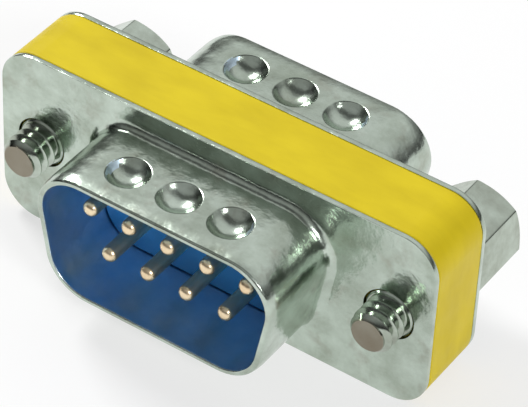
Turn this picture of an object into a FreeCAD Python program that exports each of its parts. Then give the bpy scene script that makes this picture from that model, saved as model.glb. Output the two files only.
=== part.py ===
"""Slim nine-way D adapter with a plug at both ends.

Two drawn steel shells clamp a moulded frame.  Each shell holds an insulator with nine pins, and
the pins of both plugs stand on the pads of one circuit board, which crosses them over.  Two
jackscrews run through the frame: hexagon heads behind it, threaded studs in front.

X runs along the long side, the front plug points to -Y, and Z is up.  The origin is the middle of
the flat underside.
"""
import FreeCAD, Part
import os

import Sketcher
from FreeCAD import Placement, Rotation, Vector

SIZES = [
    ("plug_width", 16.92, "inside of the D at its wide side"),
    ("plug_height", 8.36, "inside of the D along Z"),
    ("plug_slant", 10.0, "lean of the two short sides of the D in degrees"),
    ("plug_corner", 2.6, "inside corner radius of the D"),
    ("plug_depth", 5.85, "rim of the D ahead of the flange"),
    ("sheet", 0.38, "thickness of the drawn steel"),
    ("root_radius", 0.6, "outside bend between collar and flange"),
    ("rim_radius", 0.14, "rounded lip of the D"),
    ("dimple_radius", 1.36, "mouth of a pressed dimple"),
    ("dimple_depth", 0.8, "depth of a pressed dimple"),
    ("dimple_land", 0.88, "flat steel between two dimples"),
    ("dimple_edge", 0.16, "soft edge of a dimple's mouth"),
    ("base_side", 1.44, "insulator base past the D on each short side"),
    ("base_rise", 1.17, "insulator base past the D above and below"),
    ("base_thickness", 1.25, "insulator base behind the flange"),
    ("base_gap", 0.2, "room between the insulator base and the frame"),
    ("nose_gap", 0.05, "room between the insulator nose and the shell"),
    ("nose_height", 0.35, "insulator face ahead of the flange"),
    ("pin_pitch", 2.77, "step between the pins of a row"),
    ("row_pitch", 2.84, "step between the two rows"),
    ("pin_diameter", 1.02, "contact pin"),
    ("pin_setback", 1.8, "pin tip behind the rim of the D"),
    ("pin_flat", 0.11, "radius of the small flat at the pin's tip"),
    ("pin_gap", 0.02, "room round the pin and its collar, on the radius"),
    ("collar_diameter", 1.6, "collar that seats in the insulator"),
    ("collar_length", 0.9, "collar along the pin"),
    ("tail_diameter", 0.76, "solder tail"),
    ("tail_length", 0.57, "solder tail between the insulator and the board"),
    ("board_thickness", 1.0, "circuit board along Y"),
    ("board_gap", 0.4, "room between the board's edge and the frame"),
    ("cavity_corner", 1.2, "corner radius of the frame's cavity"),
    ("frame_wall", 0.7, "frame above and below its cavity"),
    ("frame_edge", 0.12, "small radius round the frame's long edges"),
    ("bore_wall", 0.715, "frame between the cavity and each screw bore"),
    ("screw_margin", 2.91, "screw's axis to the end of the flange"),
    ("flange_corner", 2.4, "radius of the flange and frame corners"),
    ("thread_diameter", 2.84, "stud, over the crests of its 4-40 thread"),
    ("shank_diameter", 3.2, "plain shank between head and stud"),
    ("bore_gap", 0.08, "room round the shank in the frame, on the radius"),
    ("hole_gap", 0.1, "room round the shank in the flanges, on the radius"),
    ("stud_length", 2.2, "stud ahead of the front flange"),
    ("stud_chamfer", 0.3, "chamfer of the stud's end"),
    ("head_flats", 5.0, "hexagon head across flats"),
    ("head_length", 5.2, "hexagon head along Y"),
    ("head_turn", 40.0, "turn of the hexagon at rest in degrees"),
    ("head_gap", 0.05, "room under the head"),
    ("head_bevel", 0.4, "bevel of the head's end, on the flats' radius"),
    ("socket_diameter", 2.3, "tapped socket in the head, at the thread's crests"),
    ("socket_depth", 4.0, "tapped socket along Y"),
    ("socket_chamfer", 0.35, "lead-in of the tapped socket"),
]
WIDE_ROW, NARROW_ROW = 5, 4
DIMPLES = 3
BEVEL_SLOPE = "tan(30)"
CAVITY_LENGTH = "(Sizes.plug_width + 2 * Sizes.base_side + 2 * Sizes.base_gap)"
CAVITY_HEIGHT = "(Sizes.plug_height + 2 * Sizes.base_rise + 2 * Sizes.base_gap)"
BORE = "(Sizes.shank_diameter + 2 * Sizes.bore_gap)"
SCREW_REACH = f"({CAVITY_LENGTH} / 2 + Sizes.bore_wall + {BORE} / 2)"
FLANGE_LENGTH = f"(2 * {SCREW_REACH} + 2 * Sizes.screw_margin)"
FLANGE_HEIGHT = f"({CAVITY_HEIGHT} + 2 * Sizes.frame_wall)"
MID_HEIGHT = f"({FLANGE_HEIGHT} / 2)"
TAIL_START = "(Sizes.board_thickness / 2 + Sizes.tail_length)"
HALF_FRAME = f"({TAIL_START} + Sizes.base_thickness)"
FRONT = f"({HALF_FRAME} + Sizes.sheet)"
RIM = f"({FRONT} + Sizes.plug_depth)"
CLOSE = 1e-4

doc = FreeCAD.newDocument("DAdapter")


def write_sizes():
    """Put every driving size in the sheet under its own name."""
    sheet = doc.addObject("Spreadsheet::Sheet", "Sizes")
    for row, (name, value, note) in enumerate(SIZES, start=1):
        sheet.set(f"A{row}", name)
        sheet.set(f"B{row}", str(value))
        sheet.set(f"C{row}", note)
        sheet.setAlias(f"B{row}", name)
    doc.recompute()
    return sheet


sizes = write_sizes()


def value_of(expression):
    """Work out a sheet expression as a plain number."""
    return float(sizes.evalExpression(expression.replace("Sizes.", "")))


def new_body(label, across=None, turn=None):
    """Start a sub-part; across and turn place it along X and about an axis."""
    body = doc.addObject("PartDesign::Body", label)
    body.Label = label
    if turn is not None:
        body.Placement = Placement(Vector(), turn)
    if across is not None:
        body.setExpression("Placement.Base.x", across)
    return body


def new_sketch(body, name, role, offset="0"):
    """Attach a sketch to one of the body's own origin planes, moved along its normal."""
    plane = next(item for item in body.Origin.OriginFeatures if item.Role == role)
    sketch = body.newObject("Sketcher::SketchObject", name)
    sketch.AttachmentSupport = [(plane, "")]
    sketch.MapMode = "FlatFace"
    sketch.setExpression("AttachmentOffset.Base.z", offset)
    return sketch


def hold_point(sketch, curve, point, place):
    """Tie one point of a curve to a pair of sheet expressions."""
    for axis_line, kind, expression in zip((-2, -1), ("DistanceX", "DistanceY"), place):
        if expression == "0":
            sketch.addConstraint(Sketcher.Constraint("PointOnObject", curve, point, axis_line))
            continue
        held = Sketcher.Constraint(kind, -1, 1, curve, point, value_of(expression))
        index = sketch.addConstraint(held)
        sketch.setExpression(f"Constraints[{index}]", expression)


def draw_outline(sketch, corners):
    """Draw a closed outline of straight lines through corners given as expressions."""
    places = [Vector(value_of(x), value_of(y), 0) for x, y in corners]
    following = places[1:] + places[:1]
    for start, end in zip(places, following):
        sketch.addGeometry(Part.LineSegment(start, end))
    for index, corner in enumerate(corners):
        after = (index + 1) % len(corners)
        sketch.addConstraint(Sketcher.Constraint("Coincident", index, 2, after, 1))
        hold_point(sketch, index, 1, corner)


def draw_circles(sketch, centres, diameter):
    """Draw equal circles about centres given as expressions."""
    for x, y in centres:
        middle = Vector(value_of(x), value_of(y), 0)
        circle = Part.Circle(middle, Vector(0, 0, 1), value_of(diameter) / 2)
        curve = sketch.addGeometry(circle)
        hold_point(sketch, curve, 3, (x, y))
        index = sketch.addConstraint(Sketcher.Constraint("Diameter", curve, circle.Radius * 2))
        sketch.setExpression(f"Constraints[{index}]", diameter)


def pad(body, sketch, name, length, backwards=False):
    """Raise a sketch by a length, along its normal or against it."""
    feature = body.newObject("PartDesign::Pad", name)
    feature.Profile = sketch
    feature.Reversed = backwards
    feature.setExpression("Length", length)
    doc.recompute()
    return feature


def cut(body, sketch, name, length, backwards=False):
    """Cut a sketch into the solid; a pocket goes against the sketch's normal by itself."""
    feature = body.newObject("PartDesign::Pocket", name)
    feature.Profile = sketch
    feature.Reversed = backwards
    feature.setExpression("Length", length)
    doc.recompute()
    return feature


def turned(body, sketch, name, kind="PartDesign::Revolution", axis="V_Axis"):
    """Revolve a half section about the sketch's upright axis."""
    feature = body.newObject(kind, name)
    feature.Profile = sketch
    feature.ReferenceAxis = (sketch, [axis])
    feature.Angle = 360
    doc.recompute()
    return feature


def soften(body, base, name, chosen, size, kind="PartDesign::Fillet"):
    """Round or bevel the chosen edges of a feature."""
    names = [
        f"Edge{index}"
        for index, edge in enumerate(base.Shape.Edges, start=1)
        if any(edge.isSame(wanted) for wanted in chosen)
    ]
    feature = body.newObject(kind, name)
    feature.Base = (base, names)
    feature.setExpression("Radius" if kind.endswith("Fillet") else "Size", size)
    doc.recompute()
    return feature


def edges_along_depth(shape, corners):
    """Find the straight edges that run along Y through the given X, Z corners."""
    spots = [(value_of(x), value_of(z)) for x, z in corners]

    def on_corner(edge):
        box = edge.BoundBox
        thin = box.XLength < CLOSE and box.ZLength < CLOSE
        near = any(
            abs(box.Center.x - x) < CLOSE and abs(box.Center.z - z) < CLOSE for x, z in spots
        )
        return thin and near

    return [edge for edge in shape.Edges if on_corner(edge)]


def edges_in_plane(shape, depth, inner=False, middle_only=False):
    """Find the edges of the flat face at Y = depth: its outer wire, or the wires inside it."""
    chosen = []
    for face in shape.Faces:
        if face.BoundBox.YLength > CLOSE or abs(face.BoundBox.Center.y - depth) > CLOSE:
            continue
        for wire in face.Wires:
            is_outer = wire.isSame(face.OuterWire)
            off_middle = abs(wire.BoundBox.Center.x) > CLOSE
            if is_outer == inner or (middle_only and off_middle):
                continue
            chosen.extend(wire.Edges)
    return chosen


def plate_corners(length, height):
    """Corners of an upright rectangle about the middle of the adapter."""
    half, low = f"{length} / 2", f"{MID_HEIGHT} - {height} / 2"
    high = f"{MID_HEIGHT} + {height} / 2"
    return [(f"-({half})", low), (half, low), (half, high), (f"-({half})", high)]


def cavity_corners(gap):
    """Corners of the frame's cavity, or of what fits in it with a gap all round."""
    return plate_corners(f"({CAVITY_LENGTH} - 2 * {gap})", f"({CAVITY_HEIGHT} - 2 * {gap})")


def d_corners(growth):
    """Corners of the D, grown by a distance on every side, with the wide side up."""
    slant = "tan(Sizes.plug_slant)"
    height = f"(Sizes.plug_height + 2 * ({growth}))"
    wide = f"(Sizes.plug_width / 2 + ({growth}) * ({slant} + 1 / cos(Sizes.plug_slant)))"
    narrow = f"({wide} - {height} * {slant})"
    low, high = f"{MID_HEIGHT} - {height} / 2", f"{MID_HEIGHT} + {height} / 2"
    return [(f"-{narrow}", low), (narrow, low), (wide, high), (f"-{wide}", high)]


def screw_places():
    """X, Z expressions of the two jackscrews."""
    return [(f"{side} * {SCREW_REACH}", MID_HEIGHT) for side in (-1, 1)]


def pin_places():
    """X, Z expressions of the nine pins in the order of their numbers, wide row first."""
    places = []
    for count, side in ((WIDE_ROW, 1), (NARROW_ROW, -1)):
        for index in range(count):
            step = index - (count - 1) / 2
            across = f"{step} * Sizes.pin_pitch" if step else "0"
            places.append((across, f"{MID_HEIGHT} + {side} * Sizes.row_pitch / 2"))
    return places


def round_plate(body, name, corners, radius, offset, thickness):
    """Make an upright plate with round corners that runs back from offset."""
    sketch = new_sketch(body, f"{name}Outline", "XZ_Plane", offset)
    draw_outline(sketch, corners)
    plate = pad(body, sketch, f"{name}Plate", thickness, backwards=True)
    chosen = edges_along_depth(plate.Shape, corners)
    return soften(body, plate, f"{name}Corners", chosen, radius)


def press_dimples(body, count):
    """Press a row of round dents into the wide side of the collar."""
    radius = "Sizes.dimple_radius"
    depth = "Sizes.dimple_depth"
    ball = f"(({radius} * {radius} + {depth} * {depth}) / (2 * {depth}))"
    skin = f"({MID_HEIGHT} + Sizes.plug_height / 2 + Sizes.sheet)"
    reach = f"({FRONT} + (Sizes.plug_depth + Sizes.root_radius) / 2)"
    pitch = f"(2 * {radius} + Sizes.dimple_land)"
    features = []
    passes = (
        ("Bump", "PartDesign::Revolution", f"({ball} + Sizes.sheet)", "Sizes.sheet / 2"),
        ("Dent", "PartDesign::Groove", ball, "0"),
    )
    for part_name, kind, round_radius, lid in passes:
        offset = f"-{count - 1} * {pitch} / 2"
        sketch = new_sketch(body, f"{part_name}Section", "YZ_Plane", offset)
        centre_height = value_of(f"{skin} + {ball} - {depth}")
        lid_height = value_of(f"{skin} - {lid}")
        across, size = value_of(f"-{reach}"), value_of(round_radius)
        half_chord = (size ** 2 - (centre_height - lid_height) ** 2) ** 0.5
        deep = Vector(across, centre_height - size, 0)
        mouth = Vector(across, lid_height, 0)
        edge = Vector(across + half_chord, lid_height, 0)
        sketch.addGeometry(Part.LineSegment(deep, mouth))
        sketch.addGeometry(Part.LineSegment(mouth, edge))
        middle = Vector(across, centre_height, 0)
        on_arc = middle + (deep + edge - middle * 2).normalize() * size
        sketch.addGeometry(Part.Arc(deep, on_arc, edge))
        sketch.addConstraint(Sketcher.Constraint("Coincident", 0, 2, 1, 1))
        sketch.addConstraint(Sketcher.Constraint("Coincident", 1, 2, 2, 2))
        sketch.addConstraint(Sketcher.Constraint("Coincident", 2, 1, 0, 1))
        sketch.addConstraint(Sketcher.Constraint("Horizontal", 1))
        hold_point(sketch, 0, 2, (f"-{reach}", f"{skin} - {lid}"))
        hold_point(sketch, 2, 3, (f"-{reach}", f"{skin} + {ball} - {depth}"))
        index = sketch.addConstraint(Sketcher.Constraint("Radius", 2, size))
        sketch.setExpression(f"Constraints[{index}]", round_radius)
        sketch.addConstraint(Sketcher.Constraint("Vertical", 0))
        axis = sketch.addGeometry(Part.LineSegment(deep, middle), True)
        sketch.addConstraint(Sketcher.Constraint("Coincident", axis, 1, 0, 1))
        sketch.addConstraint(Sketcher.Constraint("Coincident", axis, 2, 2, 3))
        features.append(turned(body, sketch, part_name, kind, "Axis0"))
    plane = next(item for item in body.Origin.OriginFeatures if item.Role == "X_Axis")
    row = body.newObject("PartDesign::LinearPattern", "DimpleRow")
    row.Originals = features
    row.Direction = (plane, [""])
    row.setExpression("Length", f"{count - 1} * {pitch}")
    row.Occurrences = count
    body.Tip = row
    doc.recompute()
    height = value_of(skin)
    mouths = [
        edge for edge in row.Shape.Edges
        if not edge.Degenerated and isinstance(edge.Curve, Part.Circle)
        and edge.BoundBox.ZLength < CLOSE and abs(edge.BoundBox.Center.z - height) < CLOSE
    ]
    return soften(body, row, "DimpleEdges", mouths, "Sizes.dimple_edge")


def make_shell(label, turn=None):
    """Draw a steel shell: a flange with two holes and a D collar with pressed dimples."""
    body = new_body(label, turn=turn)
    flange = plate_corners(FLANGE_LENGTH, FLANGE_HEIGHT)
    round_plate(body, "Flange", flange, "Sizes.flange_corner", FRONT, "Sizes.sheet")
    holes = new_sketch(body, "ScrewHoleCircles", "XZ_Plane", FRONT)
    draw_circles(holes, screw_places(), "Sizes.shank_diameter + 2 * Sizes.hole_gap")
    cut(body, holes, "ScrewHoles", "Sizes.sheet")

    collar_sketch = new_sketch(body, "CollarOutline", "XZ_Plane", RIM)
    draw_outline(collar_sketch, d_corners("Sizes.sheet"))
    pad(body, collar_sketch, "Collar", "Sizes.plug_depth + Sizes.sheet", backwards=True)
    mouth_sketch = new_sketch(body, "MouthOutline", "XZ_Plane", RIM)
    draw_outline(mouth_sketch, d_corners("0"))
    mouth = cut(body, mouth_sketch, "Mouth", "Sizes.plug_depth + Sizes.sheet")
    chosen = edges_along_depth(mouth.Shape, d_corners("0"))
    lined = soften(body, mouth, "MouthCorners", chosen, "Sizes.plug_corner")
    chosen = edges_along_depth(lined.Shape, d_corners("Sizes.sheet"))
    collar = soften(body, lined, "CollarCorners", chosen, "Sizes.plug_corner + Sizes.sheet")

    front = -value_of(FRONT)
    chosen = edges_in_plane(collar.Shape, front, inner=True, middle_only=True)
    bent = soften(body, collar, "RootBend", chosen, "Sizes.root_radius")
    back = -value_of(HALF_FRAME)
    chosen = edges_in_plane(bent.Shape, back, inner=True, middle_only=True)
    flared = soften(body, bent, "RootFlare", chosen, "Sizes.root_radius + Sizes.sheet")
    rim = -value_of(RIM)
    lip = edges_in_plane(flared.Shape, rim) + edges_in_plane(flared.Shape, rim, inner=True)
    soften(body, flared, "Lip", lip, "Sizes.rim_radius")

    press_dimples(body, DIMPLES)
    return body


def make_insulator(label, turn=None):
    """Mould an insulator: a base behind the flange and a D nose with nine stepped holes."""
    body = new_body(label, turn=turn)
    base, corner = cavity_corners("Sizes.base_gap"), "Sizes.cavity_corner - Sizes.base_gap"
    round_plate(body, "Base", base, corner, HALF_FRAME, "Sizes.base_thickness")

    face = f"{FRONT} + Sizes.nose_height"
    nose_sketch = new_sketch(body, "NoseOutline", "XZ_Plane", face)
    draw_outline(nose_sketch, d_corners("-Sizes.nose_gap"))
    length = "Sizes.nose_height + Sizes.sheet"
    nose = pad(body, nose_sketch, "Nose", length, backwards=True)
    chosen = edges_along_depth(nose.Shape, d_corners("-Sizes.nose_gap"))
    soften(body, nose, "NoseCorners", chosen, "Sizes.plug_corner - Sizes.nose_gap")

    holes = new_sketch(body, "PinHoleCircles", "XZ_Plane", face)
    draw_circles(holes, pin_places(), "Sizes.pin_diameter + 2 * Sizes.pin_gap")
    cut(body, holes, "PinHoles", f"{length} + Sizes.base_thickness")
    seats = new_sketch(body, "CollarSeatCircles", "XZ_Plane", TAIL_START)
    draw_circles(seats, pin_places(), "Sizes.collar_diameter + 2 * Sizes.pin_gap")
    cut(body, seats, "CollarSeats", "Sizes.collar_length", backwards=True)
    return body


def make_frame(label):
    """Mould the frame between the shells, hollow for the insulators and bored for the screws."""
    body = new_body(label)
    outline, depth = plate_corners(FLANGE_LENGTH, FLANGE_HEIGHT), f"2 * {HALF_FRAME}"
    rounded = round_plate(body, "Frame", outline, "Sizes.flange_corner", HALF_FRAME, depth)
    ends = [value_of(HALF_FRAME), -value_of(HALF_FRAME)]
    rims = [edge for end in ends for edge in edges_in_plane(rounded.Shape, end)]
    soften(body, rounded, "FrameEdges", rims, "Sizes.frame_edge")

    room = cavity_corners("0")
    room_sketch = new_sketch(body, "CavityOutline", "XZ_Plane", HALF_FRAME)
    draw_outline(room_sketch, room)
    cavity = cut(body, room_sketch, "Cavity", depth)
    chosen = edges_along_depth(cavity.Shape, room)
    soften(body, cavity, "CavityCorners", chosen, "Sizes.cavity_corner")

    bores = new_sketch(body, "ScrewBoreCircles", "XZ_Plane", HALF_FRAME)
    draw_circles(bores, screw_places(), BORE)
    cut(body, bores, "ScrewBores", depth)
    return body


def make_board(label):
    """Cut the circuit board that stands in the middle of the frame."""
    body = new_body(label)
    outline, corner = cavity_corners("Sizes.board_gap"), "Sizes.cavity_corner - Sizes.board_gap"
    front = "Sizes.board_thickness / 2"
    round_plate(body, "Board", outline, corner, front, "Sizes.board_thickness")
    return body


def make_contact(label, across, height, turn=None):
    """Turn one contact: pin with a round tip, collar, and a tail that ends on the board."""
    body = new_body(label, across, turn)
    body.setExpression("Placement.Base.z", height)
    tip = f"-({RIM} - Sizes.pin_setback)"
    board = "-Sizes.board_thickness / 2"
    base = f"-{TAIL_START}"
    seat = f"({base} - Sizes.collar_length)"
    pin, collar, tail = (f"Sizes.{name}_diameter / 2" for name in ("pin", "collar", "tail"))
    sketch = new_sketch(body, "ContactSection", "XY_Plane")
    draw_outline(sketch, [
        ("0", tip), (pin, tip), (pin, seat), (collar, seat),
        (collar, base), (tail, base), (tail, board), ("0", board),
    ])
    turning = turned(body, sketch, "Turning")
    ends = edges_in_plane(turning.Shape, value_of(tip))
    soften(body, turning, "PinTip", ends, "Sizes.pin_diameter / 2 - Sizes.pin_flat")
    return body


def make_jackscrew(label, across):
    """Make one jackscrew: hexagon head with a tapped socket, and a stud right through."""
    turn = Rotation(Vector(0, 1, 0), value_of("Sizes.head_turn"))
    body = new_body(label, across, turn)
    body.setExpression("Placement.Base.z", MID_HEIGHT)
    body.setExpression("Placement.Rotation.Angle", "Sizes.head_turn")
    seat = f"({FRONT} + Sizes.head_gap)"
    end = f"({seat} + Sizes.head_length)"
    corner = "(Sizes.head_flats / sqrt(3))"
    half = "(Sizes.head_flats / 2)"
    hexagon = new_sketch(body, "HeadOutline", "XZ_Plane", f"-{seat}")
    draw_outline(hexagon, [
        (corner, "0"), (f"{corner} / 2", half), (f"-{corner} / 2", half),
        (f"-{corner}", "0"), (f"-{corner} / 2", f"-{half}"), (f"{corner} / 2", f"-{half}"),
    ])
    pad(body, hexagon, "Head", "Sizes.head_length", backwards=True)

    inside, outside = f"({half} - Sizes.head_bevel)", f"({corner} + Sizes.head_bevel)"
    drop = f"({outside} - {inside}) * {BEVEL_SLOPE}"
    bevel = new_sketch(body, "HeadBevelSection", "XY_Plane")
    draw_outline(bevel, [(inside, end), (outside, end), (outside, f"{end} - {drop}")])
    turned(body, bevel, "HeadBevel", "PartDesign::Groove")

    thread, shank = "Sizes.thread_diameter / 2", "Sizes.shank_diameter / 2"
    tip = f"-({FRONT} + Sizes.stud_length)"
    stud = new_sketch(body, "StudSection", "XY_Plane")
    draw_outline(stud, [
        ("0", tip), (f"{thread} - Sizes.stud_chamfer", tip),
        (thread, f"{tip} + Sizes.stud_chamfer"), (thread, f"-{FRONT}"),
        (shank, f"-{FRONT}"), (shank, seat), ("0", seat),
    ])
    turned(body, stud, "Stud")

    bore = "(Sizes.socket_diameter / 2)"
    lead = "Sizes.socket_chamfer"
    socket = new_sketch(body, "SocketSection", "XY_Plane")
    draw_outline(socket, [
        ("0", f"{end} - Sizes.socket_depth"), (bore, f"{end} - Sizes.socket_depth"),
        (bore, f"{end} - {lead}"), (f"{bore} + {lead}", end), ("0", end),
    ])
    turned(body, socket, "Socket", "PartDesign::Groove")
    return body


def build():
    """Make every sub-part and return them in order."""
    about = Rotation(Vector(0, 0, 1), 180)
    parts = [
        make_shell("front_shell"), make_shell("rear_shell", about),
        make_insulator("front_insulator"), make_insulator("rear_insulator", about),
        make_frame("moulded_frame"), make_board("circuit_board"),
    ]
    for number, (across, height) in enumerate(pin_places(), start=1):
        parts.append(make_contact(f"front_contact_{number}", across, height))
        parts.append(make_contact(f"rear_contact_{number}", f"-({across})", height, about))
    for name, (across, _) in zip(("left", "right"), screw_places()):
        parts.append(make_jackscrew(f"{name}_jackscrew", across))
    return parts


def check(parts):
    """Stop if any feature failed or a sub-part is not one valid solid."""
    doc.recompute()
    for item in doc.Objects:
        if {"Invalid", "Error"} & set(item.State):
            raise RuntimeError(f"{item.Name} failed: {item.State}")
    for part in parts:
        if part.Shape.isNull() or not part.Shape.isValid() or len(part.Shape.Solids) != 1:
            raise RuntimeError(f"{part.Label} is not one valid solid")


def write(parts):
    """Write each sub-part under its own name."""
    os.makedirs("parts", exist_ok=True)
    for part in parts:
        part.Shape.exportStep(f"parts/{part.Label}.step")
        print(f"{part.Label}: {part.Shape.Volume:.3f} mm3")


adapter = build()
check(adapter)
write(adapter)
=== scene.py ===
"""Dress the slim D adapter for its picture.

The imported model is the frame.  The moulding, the insulators and the board keep its shapes, and the
two shells are copies of it with softened edges and a drawn-in rim.  Contacts and jackscrews are
modelled again, the jackscrews with real threads, and every surface gets its own finish.
"""
import logging
import math
from dataclasses import dataclass, field
from enum import Enum, StrEnum
from typing import ClassVar, Optional, Sequence, Union

import bmesh
import bpy
from mathutils import Matrix, Vector


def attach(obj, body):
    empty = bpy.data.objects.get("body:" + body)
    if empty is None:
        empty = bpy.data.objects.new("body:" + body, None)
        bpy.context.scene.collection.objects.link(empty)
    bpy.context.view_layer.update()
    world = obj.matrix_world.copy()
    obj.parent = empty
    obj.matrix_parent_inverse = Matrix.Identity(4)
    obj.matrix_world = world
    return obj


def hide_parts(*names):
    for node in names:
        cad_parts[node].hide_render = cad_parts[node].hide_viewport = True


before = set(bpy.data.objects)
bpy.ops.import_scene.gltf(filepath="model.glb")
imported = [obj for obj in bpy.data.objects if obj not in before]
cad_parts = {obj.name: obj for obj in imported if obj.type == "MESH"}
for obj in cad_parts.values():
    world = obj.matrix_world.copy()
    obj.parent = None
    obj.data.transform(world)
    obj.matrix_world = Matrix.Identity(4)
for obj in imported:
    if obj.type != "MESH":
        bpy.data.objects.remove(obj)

MM = 0.001
LOG = logging.getLogger("adapter")
Colour = tuple[float, float, float]
Point = tuple[float, float, float]
Span = tuple[float, float]
Stops = tuple[Span, ...]


class Finish(Enum):
    """The finishes; all but the inner wall's, which carries a painted blue reflection, are named as
    the record's material slots.
    """

    TIN = "tinned_steel"
    # Tinned steel with a painted blue reflection of the insulator, for the collar's inner wall.
    INSIDE_BLUE_REFLECTION = "tinned_steel_inside"
    SCREW = "plated_screw"
    MOULDING = "yellow_moulding"
    INSULATOR = "blue_insulator"
    GOLD = "gold_contact"
    BOARD = "circuit_board"


class Plug(StrEnum):
    """The adapter's two plugs."""

    FRONT = "front"
    REAR = "rear"

    @property
    def turn(self) -> float:
        """Give the turn about the upright axis that points a contact out of the plug."""
        return math.pi if self is Plug.FRONT else 0.0


class Side(StrEnum):
    """The sides of the two jackscrews, seen from the front."""

    LEFT = "left"
    RIGHT = "right"


class Meeting(Enum):
    """What a tool does to a piece."""

    JOIN = "UNION"
    CUT = "DIFFERENCE"
    TRIM = "INTERSECT"


class Field:
    """One shader value with arithmetic; each expression adds a Math node."""

    def __init__(self, wiring: "Wiring", socket: bpy.types.NodeSocket) -> None:
        """Wrap a socket.

        Args:
            wiring: The node tree that the socket belongs to.
            socket: The output that carries the value.
        """
        self.wiring = wiring
        self.socket = socket

    def _maths(self, operation: str, first: object, second: object, clamp: bool = False) -> "Field":
        """Add a Math node.

        Args:
            operation: The node's operation.
            first: Left value.
            second: Right value.
            clamp: Whether the result stays from 0 to 1.

        Returns:
            The node's result.
        """
        settings = {"operation": operation, "use_clamp": clamp}
        return self.wiring.add("ShaderNodeMath", settings, {0: first, 1: second})

    def __add__(self, other: object) -> "Field":
        """Add a value."""
        return self._maths("ADD", self, other)

    __radd__ = __add__

    def __sub__(self, other: object) -> "Field":
        """Take a value away."""
        return self._maths("SUBTRACT", self, other)

    def __rsub__(self, other: object) -> "Field":
        """Take this value from another."""
        return self._maths("SUBTRACT", other, self)

    def __mul__(self, other: object) -> "Field":
        """Multiply by a value."""
        return self._maths("MULTIPLY", self, other)

    __rmul__ = __mul__

    def clamped(self) -> "Field":
        """Keep the value from 0 to 1."""
        return self._maths("ADD", self, 0.0, clamp=True)


class Wiring:
    """A node tree under construction."""

    def __init__(self, tree: bpy.types.NodeTree) -> None:
        """Take over a tree.

        Args:
            tree: The node tree of a material or of the world.
        """
        self.tree = tree

    def add(
        self, kind: str, settings: dict[str, object], values: dict[Union[str, int], object],
        *wanted: Union[str, int],
    ) -> Union[Field, list[Field]]:
        """Add any node.

        Args:
            kind: The node's type.
            settings: The node's own settings, set first; "stops" sets a ramp's stops.
            values: Numbers, colours or fields for its inputs, by name or index.
            *wanted: The outputs to return, by name or index; the first one if none is named.

        Returns:
            The output, or the list of outputs if several are wanted.
        """
        node = self.tree.nodes.new(kind)
        for name, value in settings.items():
            if name == "stops":
                ramp = node.color_ramp
                for index, (where, shade) in enumerate(value):
                    stop = ramp.elements[index] if index < 2 else ramp.elements.new(where)
                    stop.position, stop.color = where, (*shade, 1.0)
            else:
                setattr(node, name, value)
        for name, value in values.items():
            self.feed(node.inputs[name], value)
        fields = [Field(self, node.outputs[output]) for output in wanted or (0,)]
        return fields[0] if len(fields) == 1 else fields

    def feed(self, socket: bpy.types.NodeSocket, value: object) -> None:
        """Give an input a link or a constant.

        Args:
            socket: The input.
            value: A field, number or colour.
        """
        if isinstance(value, Field):
            self.tree.links.new(value.socket, socket)
        elif isinstance(value, (tuple, list)) and socket.type == "RGBA":
            socket.default_value = (*value[:3], 1.0)
        else:
            socket.default_value = value

    def window(self, value: Field, low: float, high: float) -> Field:
        """Stretch a range of a value to 0..1.

        Args:
            value: The value.
            low: What becomes 0.
            high: What becomes 1.

        Returns:
            The clamped share.
        """
        values = {"Value": value, "From Min": low, "From Max": high}
        return self.add("ShaderNodeMapRange", {"clamp": True}, values, "Result")


@dataclass(frozen=True)
class Cloud:
    """One layer of noise.

    Attributes:
        scale: Cells per metre.
        detail: Octaves.
        rough: How strong the small octaves are.
        span: The values that become 0 and 1, where the layer is a mask.
        stretch: Scale of each axis.
    """

    scale: float
    detail: float = 2.0
    rough: float = 0.5
    span: Optional[Span] = None
    stretch: Point = (1.0, 1.0, 1.0)


@dataclass(frozen=True)
class Spots:
    """Scattered spots.

    Attributes:
        scale: Spots per metre.
        edge: Distance from a spot's middle at which it begins, in cells.
        core: Distance within which it is full.
    """

    scale: float
    edge: float
    core: float


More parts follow.
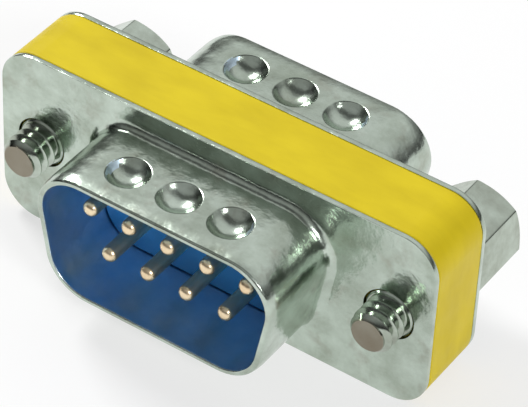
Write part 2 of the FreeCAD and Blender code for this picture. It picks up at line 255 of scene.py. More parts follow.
class Recipe(Wiring):
    """A node material under construction, patterned on the object's own coordinates."""

    def __init__(self, name: str) -> None:
        """Start a material with one Principled shader.

        Args:
            name: The material's name.
        """
        self.material = bpy.data.materials.new(name)
        self.material.use_nodes = True
        super().__init__(self.material.node_tree)
        self.shader = self.tree.nodes["Principled BSDF"]
        self.place = self.add("ShaderNodeTexCoord", {}, {}, "Object")

    def noise(self, cloud: Cloud) -> Field:
        """Lay one layer of noise.

        Args:
            cloud: The layer.

        Returns:
            A mask where the layer has a span, else a value about 0.5.
        """
        values = {"Vector": self.place, "Scale": cloud.stretch}
        mapped = self.add("ShaderNodeMapping", {}, values, "Vector")
        values = {
            "Vector": mapped, "Scale": cloud.scale, "Detail": cloud.detail,
            "Roughness": cloud.rough,
        }
        value = self.add("ShaderNodeTexNoise", {}, values, "Fac")
        return self.window(value, *cloud.span) if cloud.span else value

    def scatter(self, spots: Spots) -> Field:
        """Scatter round spots.

        Args:
            spots: The spots.

        Returns:
            1 within a spot and 0 away from all.
        """
        values = {"Vector": self.place, "Scale": spots.scale}
        away = self.add("ShaderNodeTexVoronoi", {"feature": "F1"}, values, "Distance")
        return self.window(away, spots.edge, spots.core)

    def depth(self) -> Field:
        """Read a point's place from front to back."""
        return self.add("ShaderNodeSeparateXYZ", {}, {"Vector": self.place}, "Y")

    def blend(self, share: Field, first: object, second: object) -> Field:
        """Mix two colours.

        Args:
            share: 0 gives the first, 1 the second.
            first: Colour or field.
            second: Colour or field.

        Returns:
            The mixed colour.
        """
        values = {0: share, 6: first, 7: second}
        return self.add("ShaderNodeMix", {"data_type": "RGBA"}, values, 2)

    def relief(
        self, height: Field, strength: float, depth: float, below: Optional[Field] = None,
    ) -> Field:
        """Turn a height into a normal.

        Args:
            height: The height.
            strength: Share of the effect.
            depth: Metres from 0 to 1.
            below: A normal to add to.

        Returns:
            The normal.
        """
        values = {"Height": height, "Strength": strength, "Distance": depth}
        if below is not None:
            values["Normal"] = below
        return self.add("ShaderNodeBump", {}, values, "Normal")

    def dress(self, **inputs: object) -> bpy.types.Material:
        """Feed the shader and return the material.

        Args:
            **inputs: Shader inputs, with underscores for spaces.

        Returns:
            The finished material.
        """
        for name, value in inputs.items():
            self.feed(self.shader.inputs[name.replace("_", " ")], value)
        return self.material


def darker(colour: Colour, share: float) -> Colour:
    """Keep a share of a colour's light."""
    return tuple(share * part for part in colour)


@dataclass(frozen=True)
class PlatedMetal:
    """Bright plating with slight waviness, clouds, smudges, stains and tiny pits.

    Attributes:
        name: The material's name.
        light: Colour of the bright clouds.
        deep: Colour of the dull clouds.
        gloss: Roughness where nothing dulls it.
        wave: Height of the waviness in millimetres.
        pits: Strength of the pits.
        dark_end: Depth of the end face that is coloured darker and browner, if there is one.
        stain: Strength of the brown stains.
    """

    # Dark brown, for the random stains and for the darker end face.
    DARK_BROWN: ClassVar[Colour] = (0.22, 0.17, 0.12)
    CLOUDS: ClassVar[Cloud] = Cloud(420.0, 5.0, 0.62, (0.3, 0.7))
    SMUDGES: ClassVar[Cloud] = Cloud(900.0, 4.0, 0.6, (0.35, 0.7))
    STAINS: ClassVar[Cloud] = Cloud(620.0, 4.0, 0.6, (0.54, 0.72))
    SWELL: ClassVar[Cloud] = Cloud(420.0, 1.0)
    RIPPLE: ClassVar[Cloud] = Cloud(1500.0)
    GRAIN: ClassVar[Cloud] = Cloud(9000.0)
    PITS: ClassVar[Spots] = Spots(5200.0, 0.12, 0.03)
    PIT_SHADE: ClassVar[float] = 0.45
    PIT_COVER: ClassVar[float] = 0.8
    PIT_DULLNESS: ClassVar[float] = 0.3
    SMUDGE_DULLNESS: ClassVar[float] = 0.10
    DARK_END_FADE: ClassVar[float] = 0.14 * MM
    DARK_END_COVER: ClassVar[float] = 0.75
    RIPPLE_SHARE: ClassVar[float] = 0.34
    GRAIN_STRENGTH: ClassVar[float] = 0.35
    GRAIN_HEIGHT: ClassVar[float] = 0.0035 * MM

    name: str
    light: Colour
    deep: Colour
    gloss: float
    wave: float
    pits: float = 0.25
    dark_end: Optional[float] = None
    stain: float = 0.0

    def make(self) -> bpy.types.Material:
        """Build the material.

        Returns:
            The material.
        """
        recipe = Recipe(self.name)
        pit = recipe.scatter(self.PITS) * self.pits
        tone = recipe.blend(recipe.noise(self.CLOUDS), self.deep, self.light)
        pit_cover = (pit * self.PIT_COVER).clamped()
        tone = recipe.blend(pit_cover, tone, darker(self.deep, self.PIT_SHADE))
        if self.stain:
            tone = recipe.blend(recipe.noise(self.STAINS) * self.stain, tone, self.DARK_BROWN)
        # The end face is coloured darker and browner, fading in over a short length.
        if self.dark_end is not None:
            end_tint = recipe.window(recipe.depth(), self.dark_end + self.DARK_END_FADE, self.dark_end)
            tone = recipe.blend(end_tint * self.DARK_END_COVER, tone, self.DARK_BROWN)
        swell = recipe.relief(recipe.noise(self.SWELL), 1.0, self.wave * MM)
        ripple = recipe.relief(
            recipe.noise(self.RIPPLE), 1.0, self.RIPPLE_SHARE * self.wave * MM, swell,
        )
        grain = recipe.noise(self.GRAIN)
        fine = recipe.relief(grain - pit, self.GRAIN_STRENGTH, self.GRAIN_HEIGHT, ripple)
        smudge = recipe.noise(self.SMUDGES)
        rough = self.gloss + smudge * self.SMUDGE_DULLNESS + pit * self.PIT_DULLNESS
        return recipe.dress(Base_Color=tone, Metallic=1.0, Roughness=rough, Normal=fine)


@dataclass(frozen=True)
class MouldedPlastic:
    """Injection-moulded plastic with a fine orange peel, flow marks and specks.

    Attributes:
        name: The material's name.
        light: Colour of the bright flow marks.
        deep: Colour of the dull flow marks.
        gloss: Middle roughness.
        peel: Height of the orange peel in millimetres.
        sheen: Specular level.
    """

    FLOW: ClassVar[Cloud] = Cloud(170.0, 3.0, 0.6, (0.32, 0.68), (1.0, 2.5, 1.0))
    SPECKS: ClassVar[Spots] = Spots(2600.0, 0.10, 0.04)
    SPECK_SHADE: ClassVar[float] = 0.55
    SPECK_COVER: ClassVar[float] = 0.18
    SWELL: ClassVar[Cloud] = Cloud(300.0, 1.0)
    SWELL_HEIGHT: ClassVar[float] = 0.02 * MM
    PEEL: ClassVar[Cloud] = Cloud(3400.0)
    RELIEF_STRENGTH: ClassVar[float] = 0.5
    HANDLING: ClassVar[Cloud] = Cloud(700.0, 3.0)
    HANDLING_DULLNESS: ClassVar[float] = 0.25

    name: str
    light: Colour
    deep: Colour
    gloss: float
    peel: float
    sheen: float

    def make(self) -> bpy.types.Material:
        """Build the material.

        Returns:
            The material.
        """
        recipe = Recipe(self.name)
        tone = recipe.blend(recipe.noise(self.FLOW), self.deep, self.light)
        speck_cover = recipe.scatter(self.SPECKS) * self.SPECK_COVER
        tone = recipe.blend(speck_cover, tone, darker(self.deep, self.SPECK_SHADE))
        swell = recipe.relief(recipe.noise(self.SWELL), self.RELIEF_STRENGTH, self.SWELL_HEIGHT)
        peel = recipe.relief(
            recipe.noise(self.PEEL), self.RELIEF_STRENGTH, self.peel * MM, swell,
        )
        rough = self.gloss + (recipe.noise(self.HANDLING) - 0.5) * self.HANDLING_DULLNESS
        return recipe.dress(
            Base_Color=tone, Roughness=rough, Normal=peel, Specular_IOR_Level=self.sheen,
        )


@dataclass(frozen=True)
class LacqueredBoard:
    """Green solder lacquer over glass weave.

    Attributes:
        name: The material's name.
        light: Colour over the threads.
        deep: Colour between the threads.
    """

    WARP: ClassVar[Cloud] = Cloud(2200.0, 1.0, stretch=(1.0, 1.0, 0.15))
    WEFT: ClassVar[Cloud] = Cloud(2200.0, 1.0, stretch=(0.15, 1.0, 1.0))
    THREADS: ClassVar[Span] = (0.8, 1.2)
    GLOSS: ClassVar[float] = 0.3
    THREAD_DULLNESS: ClassVar[float] = 0.12
    RELIEF_STRENGTH: ClassVar[float] = 0.4
    THREAD_HEIGHT: ClassVar[float] = 0.01 * MM
    LACQUER: ClassVar[float] = 0.4
    LACQUER_GLOSS: ClassVar[float] = 0.15

    name: str
    light: Colour
    deep: Colour

    def make(self) -> bpy.types.Material:
        """Build the material.

        Returns:
            The material.
        """
        recipe = Recipe(self.name)
        cloth = recipe.window(recipe.noise(self.WARP) + recipe.noise(self.WEFT), *self.THREADS)
        return recipe.dress(
            Base_Color=recipe.blend(cloth, self.deep, self.light),
            Roughness=self.GLOSS + cloth * self.THREAD_DULLNESS,
            Normal=recipe.relief(cloth, self.RELIEF_STRENGTH, self.THREAD_HEIGHT),
            Coat_Weight=self.LACQUER, Coat_Roughness=self.LACQUER_GLOSS,
        )


FINISHES = {
    Finish.TIN: PlatedMetal(
        "TinnedSteel", light=(0.60, 0.69, 0.61), deep=(0.38, 0.44, 0.365),
        gloss=0.17, wave=0.100, pits=0.40, stain=0.30,
    ),
    # Pale blue painted reflection of the blue insulator on the collar's inner wall, duller and
    # without pits.
    Finish.INSIDE_BLUE_REFLECTION: PlatedMetal(
        "TinnedSteelPaintedBlueReflection", light=(0.72, 0.86, 0.95), deep=(0.56, 0.72, 0.84),
        gloss=0.30, wave=0.040, pits=0.0,
    ),
    Finish.SCREW: PlatedMetal(
        "PlatedScrew", light=(0.56, 0.64, 0.56), deep=(0.31, 0.34, 0.28),
        gloss=0.14, wave=0.020, dark_end=-4.90 * MM,
    ),
    Finish.MOULDING: MouldedPlastic(
        "YellowMoulding", light=(0.74, 0.585, 0.014), deep=(0.63, 0.485, 0.010),
        gloss=0.44, peel=0.008, sheen=0.18,
    ),
    Finish.INSULATOR: MouldedPlastic(
        "BlueInsulator", light=(0.034, 0.30, 0.80), deep=(0.022, 0.21, 0.60),
        gloss=0.38, peel=0.006, sheen=0.4,
    ),
    Finish.GOLD: PlatedMetal(
        "GoldContact", light=(1.0, 0.85, 0.60), deep=(0.86, 0.66, 0.42),
        gloss=0.28, wave=0.002, pits=0.1,
    ),
    Finish.BOARD: LacqueredBoard(
        "BoardLaminate", light=(0.03, 0.16, 0.07), deep=(0.02, 0.10, 0.05),
    ),
}


class Wardrobe:
    """Makes each finish once and hands it out."""

    def __init__(self) -> None:
        """Start with nothing made."""
        self.made: dict[Finish, bpy.types.Material] = {}

    def put(self, piece: bpy.types.Object, finish: Finish) -> None:
        """Give a piece its finish alone."""
        piece.data.materials.clear()
        self.add(piece, finish)

    def add(self, piece: bpy.types.Object, finish: Finish) -> None:
        """Give a piece one more finish.

        Args:
            piece: The mesh object.
            finish: Which finish.
        """
        if finish not in self.made:
            self.made[finish] = FINISHES[finish].make()
        piece.data.materials.append(self.made[finish])


class Bench:
    """The modelling operators, each on one piece at a time.

    Attributes:
        WELD: Distance below which points are one.
        ON_PLANE: Distance below which a point lies on a cut.
        SLIVER: Size below which what a boolean leaves is dissolved.
        THREAD_STEPS: Divisions of a thread round its axis.
        THREAD_SHAPE: Shares of the pitch at which a thread leaves the root, comes to its crest,
            leaves that and is back at the root.
        SPARE_TURNS: Turns wound past a thread's span, half at each end, which are cut off.
        ASKEW: A direction along which hardly two points of a piece are level.
    """

    WELD = 1e-7
    ON_PLANE = 1e-8
    SLIVER = 1e-6
    THREAD_STEPS = 48
    THREAD_SHAPE = (0.125, 0.4375, 0.5625, 0.875)
    SPARE_TURNS = 3
    ASKEW = Vector((1.0, 1.6180, 2.7183))

    @staticmethod
    def only(piece: bpy.types.Object) -> None:
        """Select one piece alone and make it active.

        Args:
            piece: The piece.
        """
        bpy.ops.object.select_all(action="DESELECT")
        piece.select_set(True)
        bpy.context.view_layer.objects.active = piece

    @staticmethod
    def edit(piece: bpy.types.Object) -> None:
        """Put a piece alone in edit mode with all of it selected.

        Args:
            piece: The piece.
        """
        Bench.only(piece)
        bpy.ops.object.mode_set(mode="EDIT")
        bpy.ops.mesh.select_all(action="SELECT")

    @staticmethod
    def leave() -> None:
        """Leave edit mode."""
        bpy.ops.object.mode_set(mode="OBJECT")

    @staticmethod
    def apply(piece: bpy.types.Object, kind: str, **settings: object) -> None:
        """Add a modifier and apply it.

        Args:
            piece: The piece.
            kind: The modifier's type.
            **settings: Its settings.
        """
        Bench.only(piece)
        modifier = piece.modifiers.new(kind.title(), kind)
        for name, value in settings.items():
            setattr(modifier, name, value)
        bpy.ops.object.modifier_apply(modifier=modifier.name)

    @staticmethod
    def settle(piece: bpy.types.Object, name: str) -> bpy.types.Object:
        """Name a piece and move its place into its mesh.

        Args:
            piece: The piece.
            name: Its name.

        Returns:
            The piece, at the origin.
        """
        piece.name = piece.data.name = name
        piece.data.transform(piece.matrix_world)
        piece.matrix_world = Matrix.Identity(4)
        return piece

    @staticmethod
    def copied(master: bpy.types.Object, name: str, place: Matrix) -> bpy.types.Object:
        """Copy a piece, with a mesh of its own, to a place.

        Args:
            master: The piece.
            name: The copy's name.
            place: Where the copy goes.

        Returns:
            The copy, at the origin.
        """
        Bench.only(master)
        bpy.ops.object.duplicate()
        piece = bpy.context.active_object
        piece.matrix_world = place
        return Bench.settle(piece, name)

    @staticmethod
    def smooth(piece: bpy.types.Object, degrees: float) -> None:
        """Shade a piece smooth below an angle."""
        Bench.only(piece)
        bpy.ops.object.shade_smooth_by_angle(angle=math.radians(degrees))

    @staticmethod
    def order(piece: bpy.types.Object) -> None:
        """Sort a mesh by place, because the operators leave it in another order on each run.

        Args:
            piece: The piece.
        """
        shape = bmesh.new()
        shape.from_mesh(piece.data)
        shape.verts.sort(key=lambda point: point.co.dot(Bench.ASKEW))
        shape.edges.sort(key=lambda edge: sum(end.co.dot(Bench.ASKEW) for end in edge.verts))
        shape.faces.sort(key=lambda face: face.calc_center_median().dot(Bench.ASKEW))
        shape.to_mesh(piece.data)
        shape.free()

    @staticmethod
    def wire(points: Sequence[Span]) -> bpy.types.Object:
        """Lay an open wire beside the depth axis.

        Args:
            points: Radius and depth pairs in metres.

        Returns:
            The wire, ready to be turned or wound.
        """
        bpy.ops.object.select_all(action="DESELECT")
        bpy.ops.mesh.primitive_circle_add(vertices=3, radius=MM, fill_type="NOTHING")
        piece = bpy.context.active_object
        shape = bmesh.new()
        ends = [shape.verts.new((radius, depth, 0.0)) for radius, depth in points]
        for start, end in zip(ends, ends[1:]):
            shape.edges.new((start, end))
        shape.to_mesh(piece.data)
        shape.free()
        return piece

    @staticmethod
    def turned(name: str, outline: Sequence[Span], steps: int) -> bpy.types.Object:
        """Turn a closed solid about the depth axis from its half section.

        Args:
            name: The piece's name.
            outline: Radius and depth pairs in metres, from axis to axis.
            steps: Divisions round the axis.

        Returns:
            The solid, on the axis X = Z = 0.
        """
        piece = Bench.wire(outline)
        Bench.edit(piece)
        bpy.ops.mesh.spin(steps=steps, angle=math.tau, center=(0, 0, 0), axis=(0, 1, 0))
        bpy.ops.mesh.select_all(action="SELECT")
        bpy.ops.mesh.remove_doubles(threshold=Bench.WELD)
        bpy.ops.mesh.normals_make_consistent(inside=False)
        Bench.leave()
        Bench.order(piece)
        return Bench.settle(piece, name)

    @staticmethod
    def threaded_rod(
        name: str, crest: float, root: float, pitch: float, span: Span,
    ) -> bpy.types.Object:
        """Wind a closed threaded rod about the depth axis.

        Args:
            name: The piece's name.
            crest: Radius over the crests.
            root: Radius at the roots.
            pitch: Advance of one turn.
            span: First and last depth.

        Returns:
            The rod, closed flat at both ends.
        """
        rise, top, fall, foot = Bench.THREAD_SHAPE
        profile = (
            (root, 0.0), (root, rise), (crest, top), (crest, fall), (root, foot), (root, 1.0),
        )
        start = span[0] - Bench.SPARE_TURNS / 2 * pitch
        piece = Bench.wire([(radius, start + share * pitch) for radius, share in profile])
        Bench.apply(
            piece, "SCREW", axis="Y", angle=math.tau, screw_offset=pitch,
            iterations=math.ceil((span[1] - span[0]) / pitch) + Bench.SPARE_TURNS,
            steps=Bench.THREAD_STEPS, render_steps=Bench.THREAD_STEPS,
            use_merge_vertices=True, merge_threshold=Bench.WELD, use_smooth_shade=False,
        )
        for depth, outward in zip(span, (-1, 1)):
            Bench.edit(piece)
            bpy.ops.mesh.bisect(
                plane_co=(0, depth, 0), plane_no=(0, outward, 0), use_fill=True,
                clear_outer=True, threshold=Bench.ON_PLANE,
            )
            Bench.leave()
        Bench.edit(piece)
        bpy.ops.mesh.remove_doubles(threshold=Bench.WELD)
        bpy.ops.mesh.normals_make_consistent(inside=False)
        Bench.leave()
        Bench.order(piece)
        return Bench.settle(piece, name)

    @staticmethod
    def combine(piece: bpy.types.Object, tool: bpy.types.Object, meeting: Meeting) -> None:
        """Join, cut or trim a piece with a tool, which is then removed.

        Args:
            piece: The piece that changes.
            tool: The closed tool.
            meeting: What the tool does.
        """
        Bench.apply(piece, "BOOLEAN", object=tool, operation=meeting.value, solver="EXACT")
        bpy.data.objects.remove(tool)
        Bench.order(piece)
        Bench.edit(piece)
        bpy.ops.mesh.remove_doubles(threshold=Bench.SLIVER)
        bpy.ops.mesh.dissolve_degenerate(threshold=Bench.SLIVER)
        Bench.leave()
        Bench.order(piece)


@dataclass
class Jackscrews:
    """The jackscrews: hexagon head with a tapped socket, shank and threaded stud.

    Attributes:
        wardrobe: The finishes.
        places: Place of each screw's axis across the adapter.
        height: Height of the axes.
        flange: Depth of the front flange's face, where the stud begins.
        seat: Depth at which the head begins, just clear of the rear flange.
        head: Length of the head.
        flats: Width of the head across its flats.
        edge: Softening of the head's edges.
        edge_segments: Divisions of a softened edge.
        bevel: How far inside the flats the head's end face stops.
        slope: Degrees between the bevelled end and the end face.
        rest_turn: Degrees by which a corner of the head is turned from level.
        shank: Radius of the shank.
        shank_edge: Chamfer of the shank's front end.
        lap: How far the shank reaches into the head.
        stud: Length of the stud.
        crest: Radius over the stud's threads.
        root: Radius at the stud's roots.
        pitch: Advance of a thread in one turn.
        chamfer: Chamfer of the stud's tip.
        clearance: How far the tip's tool stands off the crests.
        overrun: How far a tool reaches past the face that it cuts or joins.
        run_in: How far the stud's thread runs into the shank.
        socket: Radius of the socket's bore.
        socket_depth: Depth of the socket's bore.
        socket_thread: Depth of the socket's thread.
        lead: Chamfer of the socket's mouth.
        drill_point: Length of the drill's point.
        plain: Length of the bore without thread at its bottom.
        tap_overrun: How far the tap reaches out of the head.
        steps: Divisions round a turned shape.
        drill_steps: Divisions round the bore.
        crease: Degrees above which an edge stays sharp.
    """

    wardrobe: Wardrobe
    places: tuple[tuple[Side, float], ...] = (
        (Side.LEFT, -12.495 * MM), (Side.RIGHT, 12.495 * MM),
    )
    height: float = 6.25 * MM
    flange: float = 2.70 * MM
    seat: float = 2.75 * MM
    head: float = 5.2 * MM
    flats: float = 5.0 * MM
    edge: float = 0.15 * MM
    edge_segments: int = 4
    bevel: float = 0.40 * MM
    slope: float = 30.0
    rest_turn: float = 40.0
    shank: float = 1.60 * MM
    shank_edge: float = 0.1 * MM
    lap: float = 0.1 * MM
    stud: float = 2.2 * MM
    crest: float = 1.42 * MM
    root: float = 1.08 * MM
    pitch: float = 0.635 * MM
    chamfer: float = 0.36 * MM
    clearance: float = 0.02 * MM
    overrun: float = 0.2 * MM
    run_in: float = 0.3 * MM
    socket: float = 1.15 * MM
    socket_depth: float = 4.0 * MM
    socket_thread: float = 0.27 * MM
    lead: float = 0.35 * MM
    drill_point: float = 0.3 * MM
    plain: float = 0.4 * MM
    tap_overrun: float = 0.1 * MM
    steps: int = 96
    drill_steps: int = 64
    crease: float = 28.0

    def make_head(self) -> bpy.types.Object:
        """Model the hexagon with its bevelled end and softened edges.

        Returns:
            The head, without its socket.
        """
        corner = self.flats / math.sqrt(3)
        bpy.ops.object.select_all(action="DESELECT")
        bpy.ops.mesh.primitive_cylinder_add(
            vertices=6, radius=corner, depth=self.head,
            location=(0, self.seat + self.head / 2, 0), rotation=(math.radians(90), 0, 0),
        )
        head = Bench.settle(bpy.context.active_object, "head_blank")
        first = head.data.vertices[0].co
        turn = self.rest_turn - math.degrees(math.atan2(first.z, first.x))
        head.data.transform(Matrix.Rotation(-math.radians(turn), 4, "Y"))
        Bench.apply(
            head, "BEVEL", width=self.edge, segments=self.edge_segments, limit_method="ANGLE",
        )
        end = self.seat + self.head
        inner = self.flats / 2 - self.bevel
        outer = corner + self.bevel
        drop = (outer - inner) * math.tan(math.radians(self.slope))
        envelope = Bench.turned("envelope", [
            (0, self.seat - MM), (outer, self.seat - MM), (outer, end - drop),
            (inner, end), (0, end),
        ], self.steps)
        Bench.combine(head, envelope, Meeting.TRIM)
        return head

    def make_stud(self) -> bpy.types.Object:
        """Model the shank and the threaded stud with its chamfered end.

        Returns:
            The shank and the stud as one solid.
        """
        tip = -(self.flange + self.stud)
        around = self.crest + self.clearance
        rod = Bench.threaded_rod(
            "rod", self.crest, self.root, self.pitch,
            (tip - self.overrun, -self.flange + self.run_in),
        )
        nose = Bench.turned("nose", [
            (0, tip), (self.crest - self.chamfer, tip),
            (around, tip + self.chamfer + self.clearance),
            (around, -self.flange + self.overrun), (0, -self.flange + self.overrun),
        ], self.steps)
        Bench.combine(rod, nose, Meeting.TRIM)
        shank = Bench.turned("shank", [
            (0, -self.flange), (self.shank - self.shank_edge, -self.flange),
            (self.shank, -self.flange + self.shank_edge),
            (self.shank, self.seat + self.lap), (0, self.seat + self.lap),
        ], self.steps)
        Bench.combine(rod, shank, Meeting.JOIN)
        return rod

    def make_socket(self) -> bpy.types.Object:
        """Model what the tapped socket takes out of the head.

        Returns:
            The drill and the tap as one tool.
        """
        end = self.seat + self.head
        bottom = end - self.socket_depth
        mouth = self.socket + self.lead
        tap = Bench.threaded_rod(
            "tap", self.socket + self.socket_thread, self.socket, self.pitch,
            (bottom + self.plain, end + self.tap_overrun),
        )
        drill = Bench.turned("drill", [
            (0, bottom - self.drill_point), (self.socket, bottom), (self.socket, end - self.lead),
            (mouth, end), (mouth, end + self.overrun), (0, end + self.overrun),
        ], self.drill_steps)
        Bench.combine(drill, tap, Meeting.JOIN)
        return drill

    def build(self) -> list[bpy.types.Object]:
        """Model and dress one jackscrew, and copy it to both sides.

        Returns:
            The finished pieces.
        """
        master = self.make_head()
        Bench.combine(master, self.make_stud(), Meeting.JOIN)
        Bench.combine(master, self.make_socket(), Meeting.CUT)
        Bench.smooth(master, self.crease)
        self.wardrobe.put(master, Finish.SCREW)
        screws = []
        for side, across in self.places:
            place = Matrix.Translation((across, 0, self.height))
            screw = Bench.copied(master, f"{side}_jackscrew_threaded", place)
            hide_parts(f"{side}_jackscrew")
            screws.append(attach(screw, f"{side}_screw"))
        bpy.data.objects.remove(master)
        return screws


@dataclass
class Pressing:
    """A drawn steel shell, taken from the frame and shaded as one smooth skin.

    Attributes:
        node: The frame's shell.
        wardrobe: The finishes.
        flange: Depth of the flange's face.
        middle: Height of the collar's middle.
        rim: Depth of the collar's rim.
        reach: Half the collar's inside width and half its inside height.
        turned: Length of the collar that curves inwards.
        draw_in: How far its rim comes in.
        rings: Shares of the curved length at which the skin is cut, so that it can curve.
        flat: Degrees below which neighbouring faces are one.
        edge: Softening of the sheet's edges.
        edge_segments: Divisions of a softened edge.
        sharp: Degrees above which an edge is softened.
        crease: Degrees above which an edge stays sharp in the shading.
        wall: Largest depth part of the normal on the collar's walls.
    """

    node: str
    wardrobe: Wardrobe
    flange: float = 2.70 * MM
    middle: float = 6.25 * MM
    rim: float = 8.55 * MM
    reach: Span = (8.46 * MM, 4.18 * MM)
    turned: float = 0.90 * MM
    draw_in: float = 0.12 * MM
    rings: tuple[float, ...] = (0.0, 0.2, 0.4, 0.6, 0.8)
    flat: float = 0.3
    edge: float = 0.08 * MM
    edge_segments: int = 2
    sharp: float = 75.0
    crease: float = 32.0
    wall: float = 0.5

    def copy_skin(self) -> bpy.types.Object:
        """Copy the node's mesh and close its seams.

        Returns:
            The copy.
        """
        skin = bpy.data.objects.new(f"{self.node}_skin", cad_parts[self.node].data.copy())
        bpy.context.scene.collection.objects.link(skin)
        Bench.edit(skin)
        bpy.ops.mesh.remove_doubles(threshold=Bench.WELD)
        bpy.ops.mesh.dissolve_limited(angle_limit=math.radians(self.flat))
        Bench.leave()
        if skin.data.has_custom_normals:
            bpy.ops.mesh.customdata_custom_splitnormals_clear()
        return skin

    def turn_in(self, skin: bpy.types.Object) -> None:
        """Curve the collar's open end slightly inwards, as drawing leaves it.

        Args:
            skin: The shell's piece.
        """
        facing = math.copysign(1.0, sum(point.co.y for point in skin.data.vertices))
        start = self.rim - self.turned
        for ring in self.rings:
            Bench.edit(skin)
            bpy.ops.mesh.bisect(
                plane_co=(0, facing * (start + ring * self.turned), 0), plane_no=(0, 1, 0),
                threshold=Bench.ON_PLANE,
            )
            Bench.leave()
        for point in skin.data.vertices:
            share = (facing * point.co.y - start) / self.turned
            if share > 0:
                inwards = self.draw_in * share ** 2
                above = point.co.z - self.middle
                point.co.x *= 1 - inwards / self.reach[0]
                point.co.z = self.middle + above * (1 - inwards / self.reach[1])

    def paint_wall_reflection(self, skin: bpy.types.Object) -> None:
        """Give the collar's inner wall a painted blue reflection of the blue insulator, duller and
        without pits.

        Args:
            skin: The shell's piece.
        """
        # The inward-facing wall faces get the painted blue reflection of the insulator.
        self.wardrobe.add(skin, Finish.INSIDE_BLUE_REFLECTION)
        for face in skin.data.polygons:
            centre, normal = face.center, face.normal
            wall = abs(normal.y) < self.wall and abs(centre.y) > self.flange
            if wall and centre.x * normal.x + (centre.z - self.middle) * normal.z < 0:
                face.material_index = 1

    def build(self) -> bpy.types.Object:
        """Copy, soften and dress the shell.

        Returns:
            The finished piece.
        """
        skin = self.copy_skin()
        self.turn_in(skin)
        Bench.apply(
            skin, "BEVEL", width=self.edge, segments=self.edge_segments, limit_method="ANGLE",
            angle_limit=math.radians(self.sharp),
        )
        Bench.smooth(skin, self.crease)
        Bench.apply(skin, "WEIGHTED_NORMAL", keep_sharp=True)
        self.wardrobe.put(skin, Finish.TIN)
        self.paint_wall_reflection(skin)
        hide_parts(self.node)
        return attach(skin, "housing")


def box_centre(node: str) -> Vector:
    """Find the middle of a node's box."""
    corners = [Vector(corner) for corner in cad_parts[node].bound_box]
    return sum(corners, Vector()) / len(corners)


@dataclass(frozen=True)
class Contacts:
    """The turned contacts: pin with a round tip, collar and tail.

    Attributes:
        wardrobe: The finishes.
        count: Contacts of one plug.
        pin: Radius of the pin.
        flat: Radius of the small flat at its tip.
        dome_steps: Divisions of the round tip.
        tip_depth: Depth of the tip, further out than the frame's, as in the photograph.
        collar: Radius of the collar.
        collar_span: First and last depth of the collar.
        tail: Radius of the tail.
        tail_depth: Depth at which the tail ends.
        steps: Divisions round the axis.
        crease: Degrees above which an edge stays sharp.
    """

    wardrobe: Wardrobe
    count: int = 9
    pin: float = 0.51 * MM
    flat: float = 0.11 * MM
    dome_steps: int = 12
    tip_depth: float = 7.25 * MM
    collar: float = 0.80 * MM
    collar_span: Span = (1.07 * MM, 1.97 * MM)
    tail: float = 0.38 * MM
    tail_depth: float = 0.50 * MM
    steps: int = 40
    crease: float = 30.0

    def outline(self) -> list[Span]:
        """Draw the half section from the tail to the tip.

        Returns:
            Radius and depth pairs in metres.
        """
        near, far = self.collar_span
        dome = self.pin - self.flat
        points = [
            (0, self.tail_depth), (self.tail, self.tail_depth), (self.tail, near),
            (self.collar, near), (self.collar, far), (self.pin, far),
        ]
        for step in range(self.dome_steps + 1):
            angle = math.radians(90.0 / self.dome_steps * step)
            depth = self.tip_depth - dome + dome * math.sin(angle)
            points.append((self.flat + dome * math.cos(angle), depth))
        return points + [(0, self.tip_depth)]

    def build(self) -> list[bpy.types.Object]:
        """Turn and dress one contact, and copy it to the place of every contact.

        Returns:
            The finished pieces.
        """
        master = Bench.turned("contact", self.outline(), self.steps)
        Bench.smooth(master, self.crease)
        self.wardrobe.put(master, Finish.GOLD)
        pins = []
        for plug in Plug:
            for number in range(1, self.count + 1):
                node = f"{plug}_contact_{number}"
                centre = box_centre(node)
                place = Matrix.Translation((centre.x, 0, centre.z))
                turn = Matrix.Rotation(plug.turn, 4, "Z")
                pin = Bench.copied(master, f"{node}_turned", place @ turn)
                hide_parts(node)
                pins.append(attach(pin, "housing"))
        bpy.data.objects.remove(master)
        return pins


@dataclass
class Core:
    """The frame's own nodes; the contacts, which aren't listed, are gold.

    Attributes:
        wardrobe: The finishes.
        finishes: The finish of each node.
    """

    wardrobe: Wardrobe
    finishes: dict[str, Finish] = field(default_factory=lambda: {
        "moulded_frame": Finish.MOULDING,
        "front_insulator": Finish.INSULATOR,
        "rear_insulator": Finish.INSULATOR,
        "circuit_board": Finish.BOARD,
        "front_shell": Finish.TIN,
        "rear_shell": Finish.TIN,
        "left_jackscrew": Finish.SCREW,
        "right_jackscrew": Finish.SCREW,
    })

    def build(self) -> list[str]:
        """Dress every node.

        Returns:
            The names of the nodes.
        """
        for name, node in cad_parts.items():
            self.wardrobe.put(node, self.finishes.get(name, Finish.GOLD))
        return list(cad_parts)


@dataclass(frozen=True)
class Lamp:
    """One soft square lamp.

    Attributes:
        name: The lamp's name.
        place: Where it hangs.
        size: Side of its square.
        power: Watts.
        aim: What it faces.
    """

    name: str
    place: Point
    size: float
    power: float
    aim: Point = (0.0, 0.0, 6.0 * MM)

    def hang(self) -> None:
        """Add the lamp to the scene."""
        data = bpy.data.lights.new(self.name, "AREA")
        data.shape, data.size, data.energy = "SQUARE", self.size, self.power
        lamp = bpy.data.objects.new(self.name, data)
        facing = (Vector(self.aim) - Vector(self.place)).to_track_quat("-Z", "Y")
        lamp.matrix_world = Matrix.Translation(self.place) @ facing.to_matrix().to_4x4()
        bpy.context.scene.collection.objects.link(lamp)


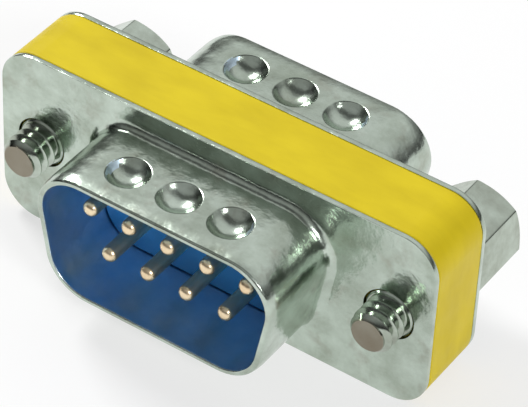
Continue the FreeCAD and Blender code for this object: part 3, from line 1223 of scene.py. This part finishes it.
@dataclass(frozen=True)
class Studio:
    """Pale floor, soft light and the camera of the photograph.

    Attributes:
        photo_width: Width of the photograph in pixels.
        focal: The camera's focal length in the photograph's pixels.
        sensor: Width of the sensor in millimetres.
        clip: Nearest and farthest distance that the camera sees.
        azimuth: Degrees by which the camera looks to the left of straight back.
        elevation: Degrees by which it looks down.
        roll: Degrees by which the picture is turned.
        distance: From the camera to what it looks at.
        aim: The middle of the adapter.
        slide: How far the aim lies right of and below the picture's middle.
        floor_size: Side of the floor.
        floor_grey: Colour of the floor.
        floor_rough: Roughness of the floor.
        paper: How much of the floor's white is plain, where it is seen or mirrored.
        world: Strength of the surrounding light.
        sky: Its grey from straight below to straight above.
        depth: A factor on that grey, from in front of the adapter to behind it.
        lamps: The lamps.
    """

    photo_width: int = 528
    focal: float = 3032.5502
    sensor: float = 36.0
    clip: Span = (0.01, 10.0)
    azimuth: float = 32.6816
    elevation: float = 41.5399
    roll: float = 2.9197
    distance: float = 180.0 * MM
    aim: Point = (0.0, 0.30 * MM, 6.25 * MM)
    slide: Span = (-1.4953 * MM, -0.2480 * MM)
    floor_size: float = 3.0
    floor_grey: float = 0.93
    floor_rough: float = 0.7
    paper: float = 0.65
    world: float = 0.85
    sky: Stops = ((0.0, 0.04), (0.12, 0.05), (0.34, 0.30), (0.60, 0.80), (1.0, 1.0))
    depth: Stops = (
        (0.0, 0.60), (0.24, 0.50), (0.34, 0.12), (0.46, 0.14), (0.62, 0.85), (1.0, 1.25),
    )
    lamps: tuple[Lamp, ...] = (
        Lamp("Key", (-0.30, 0.10, 0.29), 0.12, 1.3),
        Lamp("Fill", (0.33, -0.16, 0.22), 0.10, 0.8),
    )

    def add_camera(self) -> None:
        """Place the camera at the photograph's view."""
        turn, tilt, roll = map(math.radians, (self.azimuth, self.elevation, self.roll))
        ahead = Vector((
            -math.sin(turn) * math.cos(tilt), math.cos(turn) * math.cos(tilt), -math.sin(tilt),
        ))
        right = Vector((math.cos(turn), math.sin(turn), 0))
        down = -right.cross(ahead)
        across = math.cos(roll) * right - math.sin(roll) * down
        below = math.sin(roll) * right + math.cos(roll) * down
        target = Vector(self.aim) - across * self.slide[0] - below * self.slide[1]
        data = bpy.data.cameras.new("View")
        data.sensor_width = self.sensor
        data.lens = self.focal / self.photo_width * self.sensor
        data.clip_start, data.clip_end = self.clip
        camera = bpy.data.objects.new("View", data)
        facing = Matrix((across, -below, -ahead)).transposed().to_4x4()
        camera.matrix_world = Matrix.Translation(target - ahead * self.distance) @ facing
        bpy.context.scene.collection.objects.link(camera)
        bpy.context.scene.camera = camera

    def add_floor(self) -> None:
        """Lay a plain pale floor."""
        bpy.ops.object.select_all(action="DESELECT")
        bpy.ops.mesh.primitive_plane_add(size=self.floor_size, location=(0, 0, 0))
        floor = Bench.settle(bpy.context.active_object, "floor")
        recipe = Recipe("PaleFloor")
        direct, mirrored, through = recipe.add(
            "ShaderNodeLightPath", {}, {}, "Is Camera Ray", "Is Glossy Ray", "Is Transmission Ray",
        )
        seen = (direct + mirrored + through).clamped() * self.paper
        white = recipe.add("ShaderNodeEmission", {}, {"Strength": 1.0})
        matt = Field(recipe, recipe.shader.outputs[0])
        shown = recipe.add("ShaderNodeMixShader", {}, {0: seen, 1: matt, 2: white})
        recipe.feed(recipe.tree.nodes["Material Output"].inputs["Surface"], shown)
        grey = (self.floor_grey, self.floor_grey, self.floor_grey)
        floor.data.materials.append(recipe.dress(Base_Color=grey, Roughness=self.floor_rough))

    def add_world(self) -> None:
        """Surround the adapter with soft greys, darker below and in front."""
        world = bpy.data.worlds.new("Studio")
        world.use_nodes = True
        bpy.context.scene.world = world
        wiring = Wiring(world.node_tree)
        towards = wiring.add("ShaderNodeTexCoord", {}, {}, "Generated")
        back, up = wiring.add("ShaderNodeSeparateXYZ", {}, {"Vector": towards}, "Y", "Z")
        shades = []
        for value, low, greys in ((up, 0.0, self.sky), (back, -1.0, self.depth)):
            stops = [(place, (grey, grey, grey)) for place, grey in greys]
            values = {"Fac": wiring.window(value, low, 1.0)}
            shades.append(wiring.add("ShaderNodeValToRGB", {"stops": stops}, values, "Color"))
        product = wiring.add(
            "ShaderNodeVectorMath", {"operation": "MULTIPLY"}, dict(enumerate(shades)), "Vector",
        )
        background = wiring.tree.nodes["Background"]
        wiring.feed(background.inputs["Color"], product)
        wiring.feed(background.inputs["Strength"], self.world)

    def build(self) -> None:
        """Set up the whole studio."""
        self.add_camera()
        self.add_floor()
        self.add_world()
        for lamp in self.lamps:
            lamp.hang()
        bpy.context.scene.view_settings.view_transform = "Standard"


def main() -> None:
    """Build every sub-assembly in order and report it."""
    logging.basicConfig(level=logging.INFO, format="%(message)s")
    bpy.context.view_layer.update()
    wardrobe = Wardrobe()
    for name in Core(wardrobe).build():
        LOG.info("dressed: %s", name)
    for plug in Plug:
        LOG.info("shell: %s", Pressing(f"{plug}_shell", wardrobe).build().name)
    for contact in Contacts(wardrobe).build():
        LOG.info("contact: %s", contact.name)
    for screw in Jackscrews(wardrobe).build():
        LOG.info("screw: %s, %d faces", screw.name, len(screw.data.polygons))
    Studio().build()


if __name__ == "__main__":
    main()
